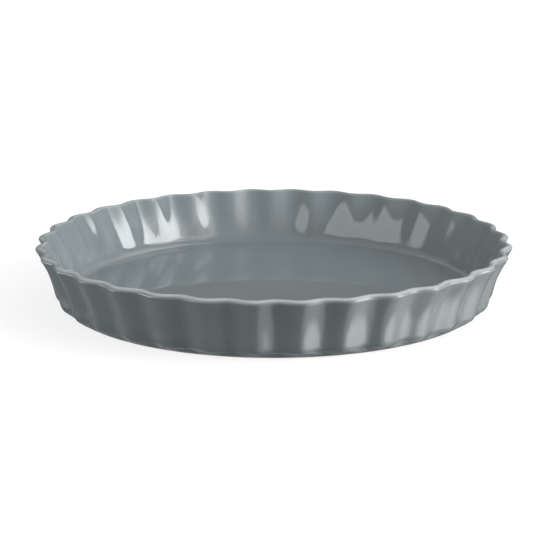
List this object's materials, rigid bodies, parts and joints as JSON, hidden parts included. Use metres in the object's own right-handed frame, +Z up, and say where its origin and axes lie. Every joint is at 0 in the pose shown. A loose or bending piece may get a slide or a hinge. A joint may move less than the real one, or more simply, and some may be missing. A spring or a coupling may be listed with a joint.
{
  "type": "tart dish",
  "caption": "Round shallow tart dish with a flared fluted wall, rounded rim, flat inside floor and a bare foot ring to stand on.",
  "frame": {"origin": "on the table, at the centre of the foot ring", "axes": "+Z up along the dish's axis; a hollow of the fluting lies on each of +X, -X, +Y and -Y; the picture looks along +Y from above"},
  "size_m": [0.3186, 0.3186, 0.042],
  "materials": {
    "bare_clay": "matt unglazed fired stoneware, seen only on the foot ring",
    "grey_glaze": "glossy opaque slate-grey glaze"
  },
  "bodies": {
    "root": {"stoneware_body": "bare_clay", "glaze_coat": "grey_glaze", "underside_glaze": "grey_glaze"}
  },
  "joints": []
}
